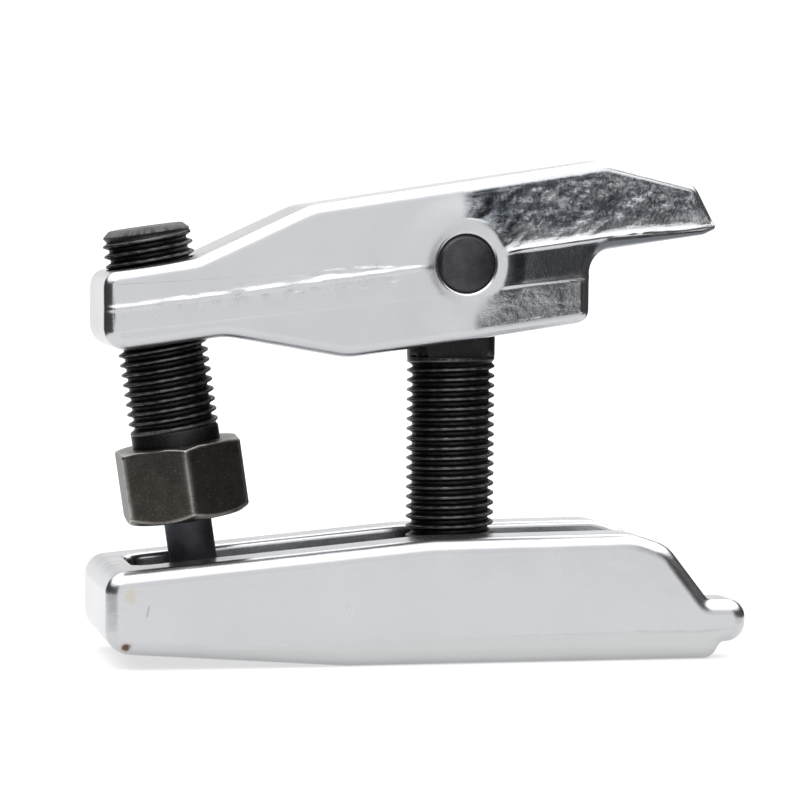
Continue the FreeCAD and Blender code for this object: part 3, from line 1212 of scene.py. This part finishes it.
    def roughness(self, x: np.ndarray, z: np.ndarray) -> tuple[np.ndarray, np.ndarray]:
        """Rough cast skin above the ridge past the boss and near the heel, and the share of painted
        dark reflection.

        Args:
            x: place along the tool.
            z: height.

        Returns:
            Share of rough skin and share of painted dark reflection, each from 0 to 1.
        """
        past = self.past_boss(x, z)
        over = z - self.ridge(x)
        top = step(past, -1.0, 2.6) * step(over, 0.4, 1.4)
        under = self.lower_line(x) - z
        band = step(past, 0.2, 2.6) * step(over, -0.5, -1.2) * step(under, -0.2, -0.9)
        left = step(x, -6.0, -14.0) * step(np.abs(over + 0.6), 4.0, 0.5) * 0.25
        foot = self.foot_patch(x, z)
        # Painted dark reflection: top, band and foot darkened, less so near the ridge.
        tip = step(over, 5.0, 0.5) * 0.45
        even = 0.45 + 0.55 * step(x, 12.0, 24.0)
        rough = np.clip(top * even + band * 0.2 + left + foot * 0.8, 0, 1)
        return rough, np.clip(top * (0.95 - tip) + band * 0.78 + foot * 0.6, 0, 1)

    def loop(self) -> tuple[np.ndarray, dict[str, tuple[int, int]]]:
        """The side outline's points and where its windows start and end.

        Returns:
            Rows of x, z and rim, and for each window its first and last point.
        """
        base = rounded_loop(self.outline)
        lean = math.radians(self.slot_swing_deg)
        feet = []
        for sign in (-1, 1):
            x = self.pin[0] + sign * 13.5
            for _ in range(self.foot_rounds):
                foot = resample(base, [running_length(base, x, False)], [1])[0, 1]
                top = self.pin[1] + self.slot_reach * math.sin(lean)
                reach = self.slot_reach * math.cos(lean) + (top - foot) * math.tan(lean)
                x = self.pin[0] + sign * reach
            feet.append(running_length(base, x, False))
        n = self.window_steps
        stops = [*(running_length(base, x, False) for x in self.under_window), *feet,
                 running_length(base, self.heel, False),
                 *(running_length(base, x, True) for x in self.top_window)]
        to_slot, mouth, to_heel, over_finger, rear = 34, 60, 18, 292, 60
        counts = [n, to_slot, mouth, to_heel, over_finger, n, rear]
        marks = np.concatenate([[0], np.cumsum(counts)])
        spans = {"under": (int(marks[0]), int(marks[1])), "slot": (int(marks[2]), int(marks[3])),
                 "top": (int(marks[5]), int(marks[6]))}
        return resample(base, stops, counts), spans

    def across(self, room: np.ndarray) -> np.ndarray:
        """Rows across the lever, drawn together where it is slim.

        The inner rows end at the slot's walls, or nearer where the room is less than a
        millimetre beyond them; the outer rows go on to the screw's window or to just
        inside the room.

        Args:
            room: half width of the flat stretch at each point of the outline.

        Returns:
            Place across of every row at every point.
        """
        half = self.slot_half * np.minimum(1.0, room / (self.slot_half + 1.0))
        edge = np.minimum(self.screw_window, room * 0.98)
        outer = half + (edge - half) * np.linspace(0, 1, self.outer_rows + 1)[1:, None]
        inner = half * np.linspace(-1, 1, self.inner_rows)[:, None]
        return np.vstack([-outer[::-1], inner, outer])

    def screw_mouth(self, skin: Skin, columns: np.ndarray, rows: np.ndarray) -> np.ndarray:
        """Flat rings from a window's rim to the screw hole, and the hole's rim.

        The rim point at the same bearing on the leaning screw bore lies at
        axis(z) + bore * cos(bearing) / cos(lean) along the tool and bore * sin(bearing)
        across it, with z read from the outline.

        Args:
            skin: skin that takes the rings.
            columns: x, z of the outline's points across the window, in order.
            rows: y of the window's rows.

        Returns:
            The hole's rim.
        """
        order = np.argsort(columns[:, 0])
        x_row, z_row = columns[order, 0], columns[order, 1]
        m = len(rows) - 1
        n = len(x_row) - 1
        x_mid = np.concatenate([x_row[:-1], np.repeat(x_row[-1], m),
                                x_row[:0:-1], np.repeat(x_row[0], m)])
        y_mid = np.concatenate([np.repeat(rows[0], n), rows[:-1],
                                np.repeat(rows[-1], n), rows[:0:-1]])
        middle = (x_row[0] + x_row[-1]) / 2
        share = np.concatenate([np.linspace(-1, 1, n, endpoint=False), np.ones(m),
                                np.linspace(1, -1, n, endpoint=False), -np.ones(m)])
        bearing = np.arctan2(y_mid / self.screw_window, share)
        lean = math.radians(self.axis.tilt_deg)
        x_hole = np.full_like(bearing, middle)
        for _ in range(self.hole_rounds):
            z_hole = np.interp(x_hole, x_row, z_row)
            centre = self.axis.top_x + (self.axis.top_z - z_hole) * math.tan(lean)
            x_hole = centre + self.screw_bore * np.cos(bearing) / math.cos(lean)
        y_hole = self.screw_bore * np.sin(bearing)
        t = np.linspace(0, 1, 7)[:, None]
        x = x_mid * (1 - t) + x_hole * t
        y = y_mid * (1 - t) + y_hole * t
        rings = np.stack([x, y, np.interp(x, x_row, z_row)], axis=-1)
        skin.patch(rings, around=True)
        return rings[-1]

    def face(self, skin: Skin, side: Side, inset: np.ndarray, spoke: np.ndarray) -> np.ndarray:
        """Flat side: straight along each spoke from the pin hole's ring to the rounded edge.

        Args:
            skin: the lever's skin.
            side: the side of the tool.
            inset: the outline less its rim.
            spoke: unit direction from the pin to each point of the outline.

        Returns:
            Half width, rough share and painted dark reflection share of every point.
        """
        t = np.linspace(0, 1, self.face_rows)[:, None, None]
        ring = np.array(self.pin) + spoke * (self.bore + self.sink)
        flat = ring[None] * (1 - t) + inset[None] * t
        wide = self.cheek(flat[..., 0], flat[..., 1], side, step(1 - t[..., 0], 0.0, 0.09))
        rough, dim = self.roughness(flat[..., 0], flat[..., 1])
        skin.patch(np.stack([flat[..., 0], side.value * wide, flat[..., 1]], axis=-1),
                   around=True, wear=rough, dim=dim)
        return np.stack([wide, rough, dim])

    def edge(self, skin: Skin, side: Side, loop: np.ndarray, shoulder: np.ndarray) -> None:
        """Rounded edge: a quarter turn of the rim's radius from the face to the outline.

        Its first row is the face's last, with the same rough and painted dark reflection
        shares, which then fade over one row; a painted dark reflection stays further round
        on the finger's underside.

        Args:
            skin: the lever's skin.
            side: the side of the tool.
            loop: rows of x, z and rim.
            shoulder: half width, rough share and painted dark reflection share along the face's
                last row.
        """
        place, rim, normal = loop[:, :2], loop[:, 2], outward(loop)
        wide, rough, dim = shoulder
        phi = np.linspace(0, np.pi / 2, 7)[:, None]
        inset = place - normal * rim[:, None]
        turned = inset[None] + normal[None] * (rim[None, :] * np.sin(phi))[..., None]
        drop = wide[None, :] - rim[None, :] * (1 - np.cos(phi))
        leave = np.clip(phi / phi[1], 0, 1)
        # Painted dark reflection on the rounded edge under the finger.
        below = step(-normal[:, 1], 0.3, 0.8) * step(place[:, 0], 34.0, 37.0)
        shaded = 0.85 * below[None, :] * step(phi, 1.35, 0.8) + dim[None, :] * (1 - leave)
        skin.patch(np.stack([turned[..., 0], side.value * drop, turned[..., 1]], axis=-1),
                   around=True, wear=rough[None, :] * (1 - leave),
                   dim=np.where(leave > 0, shaded, dim[None, :]))

    def hole(self, skin: Skin, side: Side, wide: np.ndarray, spoke: np.ndarray) -> None:
        """Pin hole: its rolled edge, then a straight bore down to the eye's slot.

        Args:
            skin: the lever's skin.
            side: the side of the tool.
            wide: half width along the face's first row.
            spoke: unit direction from the pin to each point of the outline.
        """
        centre = np.array(self.pin)
        bore = centre + spoke * self.bore
        rings = [(centre + spoke * (self.bore + self.sink * (1 - math.sin(a))),
                  wide - self.sink * (1 - math.cos(a))) for a in np.linspace(0, np.pi / 2, 6)]
        rings += [(bore, np.full(len(bore), depth)) for depth in (self.bore_row, self.slot_half)]
        skin.patch(np.array([np.stack([ring[:, 0], side.value * half, ring[:, 1]], axis=-1)
                             for ring, half in rings]), around=True)

    def slot_side(self, skin: Skin, side: Side, bore: np.ndarray, slot: np.ndarray) -> None:
        """Flat wall of the slot beside the eye, from the pin hole to the slot's outline.

        Args:
            skin: the lever's skin.
            side: the side of the tool.
            bore: the pin hole's rim.
            slot: the slot's outline at the same bearings.
        """
        s = np.linspace(0, 1, 5)[:, None, None]
        wall = bore[None] * (1 - s) + slot[None] * s
        y = np.full(wall.shape[:2], side.value * self.slot_half)
        skin.patch(np.stack([wall[..., 0], y, wall[..., 1]], axis=-1), around=True)

    def build(self) -> None:
        """Makes the lever's skin and dresses it."""
        loop, spans = self.loop()
        place, rim = loop[:, :2], loop[:, 2]
        inset = place - outward(loop) * rim[:, None]
        bearing = np.arctan2(place[:, 1] - self.pin[1], place[:, 0] - self.pin[0])
        spoke = np.stack([np.cos(bearing), np.sin(bearing)], axis=-1)
        skin = Skin("upper_jaw_forging")
        shoulders = {}
        for side in Side:
            face = self.face(skin, side, inset, spoke)
            self.edge(skin, side, loop, face[:, -1])
            self.hole(skin, side, face[0, 0], spoke)
            shoulders[side] = face[0, -1]
        slot = self.slot_ring(place, bearing, spans["slot"])
        for side in Side:
            self.slot_side(skin, side, np.array(self.pin) + spoke * self.bore, slot)
        near = rim - shoulders[Side.NEAR]
        far = shoulders[Side.FAR] - rim
        rows = np.vstack([near[None], self.across(np.minimum(-near, far)), far[None]])
        self.wrap(skin, place, rows, spans)
        inner = slice(self.outer_rows, self.outer_rows + self.inner_rows)
        wide_open = np.full(len(loop), self.half_wide)
        self.slot_wall(skin, slot, self.across(wide_open)[inner], spans["slot"])
        dress(skin.build(), self.finish.material(), "lever", "upper_jaw")

    def slot_ring(self, place: np.ndarray, bearing: np.ndarray,
                  span: tuple[int, int]) -> np.ndarray:
        """Outline of the eye's slot at the same bearings: a dome, then two lines tangent to it.

        Args:
            place: the side outline's points.
            bearing: their bearings about the pin.
            span: first and last point of the slot's mouth.

        Returns:
            The slot's points.
        """
        lean = math.radians(self.slot_swing_deg)
        swing = np.mod(bearing + np.pi / 2, 2 * np.pi) - np.pi / 2
        least = 0.05
        right = np.where(swing < lean, 1 / np.clip(np.cos(swing - lean), least, None), 1.0)
        left = np.where(swing > np.pi - lean,
                        1 / np.clip(np.cos(swing - np.pi + lean), least, None), 1.0)
        reach = self.slot_reach * np.maximum(right, left)
        spoke = np.stack([np.cos(bearing), np.sin(bearing)], axis=-1)
        ring = np.array(self.pin) + reach[:, None] * spoke
        ring[span[0]:span[1] + 1] = place[span[0]:span[1] + 1]
        return ring

    def wrap(self, skin: Skin, place: np.ndarray, rows: np.ndarray,
             spans: dict[str, tuple[int, int]]) -> None:
        """Top, underside and ends: the outline carried across, with its windows left open.

        Args:
            skin: skin that takes the surface.
            place: the side outline's points.
            rows: y of every row at every point.
            spans: the windows.
        """
        n = len(place)
        grid = np.stack([np.broadcast_to(place[:, 0], rows.shape), rows,
                         np.broadcast_to(place[:, 1], rows.shape)], axis=-1)
        last = len(rows) - 1
        full = np.arange(n + 1) % n
        mouth = 1 + self.outer_rows
        cuts = sorted([(*spans["under"], 1, last - 1), (*spans["slot"], mouth, last - mouth),
                       (*spans["top"], 1, last - 1)])
        at = 0
        for start, end, low, high in cuts:
            skin.patch(grid[:, full[at:start + 1]])
            skin.patch(grid[:low + 1, full[start:end + 1]])
            skin.patch(grid[high:, full[start:end + 1]])
            at = end
        skin.patch(grid[:, full[at:]])
        mouths = []
        for name in ("under", "top"):
            start, end = spans[name]
            columns = place[full[start:end + 1]]
            mouths.append(self.screw_mouth(skin, columns, rows[1:last, full[start]]))
        low, high = mouths
        skin.patch(np.array([low * (1 - t) + high * t for t in np.linspace(0, 1, 9)]), around=True)

    def slot_wall(self, skin: Skin, slot: np.ndarray, rows: np.ndarray,
                  span: tuple[int, int]) -> None:
        """Wall across the slot, from one foot of its mouth over the dome to the other.

        Args:
            skin: the lever's skin.
            slot: the slot's outline.
            rows: y of every row at every point.
            span: first and last point of the slot's mouth.
        """
        way = np.arange(span[1], span[0] + len(slot) + 1) % len(slot)
        y = rows[:, way]
        x = np.broadcast_to(slot[way, 0], y.shape)
        skin.patch(np.stack([x, y, np.broadcast_to(slot[way, 1], y.shape)], axis=-1))


# --------------------------------------------------------------------- the studio
def set_at(place: Sequence[float], turn: np.ndarray) -> Matrix:
    """Matrix that turns an object and sets it at a place in millimetres."""
    return Matrix.Translation(np.array(place) * MM) @ Matrix(turn.tolist()).to_4x4()


@dataclass
class Studio:
    """Pale floor, soft light all round with dim sides, and the camera."""

    lens: float = 142.4475
    sensor: float = 36.0
    eye: tuple[float, float, float] = (-138.47, -631.86, 89.64)
    across_deg: float = 12.095
    down_deg: float = 3.345
    roll_deg: float = 0.5
    floor_radius: float = 210.0
    floor_gap: float = 0.02
    floor_glow: float = 0.6
    white: float = 1.25
    side_dim: float = 1.19
    rear_dim: float = 0.85
    overhead: float = 1.2

    def camera(self) -> None:
        """Camera at the eye, turned by its across, down and roll angles."""
        across, down, roll = map(math.radians, (self.across_deg, self.down_deg, self.roll_deg))
        ahead = np.array([math.sin(across) * math.cos(down), math.cos(across) * math.cos(down),
                          -math.sin(down)])
        right = np.array([math.cos(across), -math.sin(across), 0.0])
        up = np.cross(right, ahead)
        right, up = (right * math.cos(roll) + up * math.sin(roll),
                     up * math.cos(roll) - right * math.sin(roll))
        data = bpy.data.cameras.new("camera")
        data.sensor_width = self.sensor
        data.lens = self.lens
        data.clip_start, data.clip_end = 0.01, 50.0
        camera = bpy.data.objects.new("camera", data)
        turn = np.stack([right, up, -ahead], axis=1)
        camera.matrix_world = set_at(self.eye, turn)
        bpy.context.scene.collection.objects.link(camera)
        bpy.context.scene.camera = camera

    def floor(self) -> None:
        """Pale round floor, rings drawn in to its middle, just under the tool."""
        skin = Skin("floor")
        rings = [(self.floor_radius * share / 3, 0.0) for share in (3, 2, 1, 0)]
        lathe(skin, Axle((0.0, 0.0, -self.floor_gap), (0.0, 0.0, 1.0)), rings)
        floor = skin.build()
        shade = Shade(bpy.data.materials.new("floor_pale"))
        grain = shade.noise(shade.place(), 30.0, 2.0)
        colour = shade.colours(grain, ((0.3, (0.34, 0.34, 0.34)), (0.7, (0.35, 0.35, 0.35))))
        floor.data.materials.append(shade.surface(
            colour, grain * 0.1 + 0.8, shade.bumped(grain, 0.01), metallic=0.0,
            glow=self.floor_glow))

    def world(self) -> None:
        """White surround whose left and right sides are dim near the horizon."""
        world = bpy.data.worlds.new("studio")
        bpy.context.scene.world = world
        shade = Shade(world)
        way = shade.add("ShaderNodeTexCoord", {}, {}).outputs["Generated"]
        x, y, z = shade.axes(way)
        side = x.math("ABSOLUTE").band(0.4, 0.5) * z.math("ABSOLUTE").band(0.6, 0.42)
        rear = y.band(0.75, 0.85) * z.band(0.17, 0.22) * z.band(0.42, 0.3)
        light = self.white - side * self.side_dim - rear * self.rear_dim
        light = light + z.band(0.45, 0.6) * self.overhead
        seen = Value(shade, shade.add("ShaderNodeLightPath", {}, {}).outputs["Is Camera Ray"])
        light = light * (1.0 - seen) + seen * self.white
        glow = shade.add("ShaderNodeBackground", {}, {
            "Color": (1.0, 1.0, 1.0, 1.0), "Strength": light})
        shade.add("ShaderNodeOutputWorld", {}, {"Surface": glow.outputs[0]})

    def lamp(self, name: str, place: tuple[float, float, float], size: float, watts: float) -> None:
        """Square soft lamp aimed at the middle of the tool.

        Args:
            name: the lamp's name.
            place: where it hangs, in millimetres.
            size: side of its square, in millimetres.
            watts: its power.
        """
        data = bpy.data.lights.new(name, "AREA")
        data.size = size * MM
        data.energy = watts
        lamp = bpy.data.objects.new(name, data)
        back = np.array(place) - np.array([0.0, 0.0, 50.0])
        back = back / np.linalg.norm(back)
        right = np.cross([0.0, 0.0, 1.0], back)
        right = right / np.linalg.norm(right)
        turn = np.stack([right, np.cross(back, right), back], axis=1)
        lamp.matrix_world = set_at(place, turn)
        bpy.context.scene.collection.objects.link(lamp)

    def build(self) -> None:
        """Sets up the whole studio."""
        self.camera()
        self.floor()
        self.world()
        self.lamp("top_soft", (-500.0, -900.0, 1500.0), 900.0, 8.0)
        bpy.context.scene.view_settings.view_transform = "Standard"
        LOG.info("studio is set")


def main() -> None:
    """Builds the studio and the tool's pieces in order."""
    logging.basicConfig(level=logging.INFO)
    Studio().build()
    redress("lower_jaw", JawPlating("jaw_plating").material())
    redress("tip_ring", TurnedSteel("ring_steel").material())
    ForgedLever().build()
    PivotPost().build()
    CrossPin().build()
    ThrustTip().build()
    ForcingScrew().build()


if __name__ == "__main__":
    main()
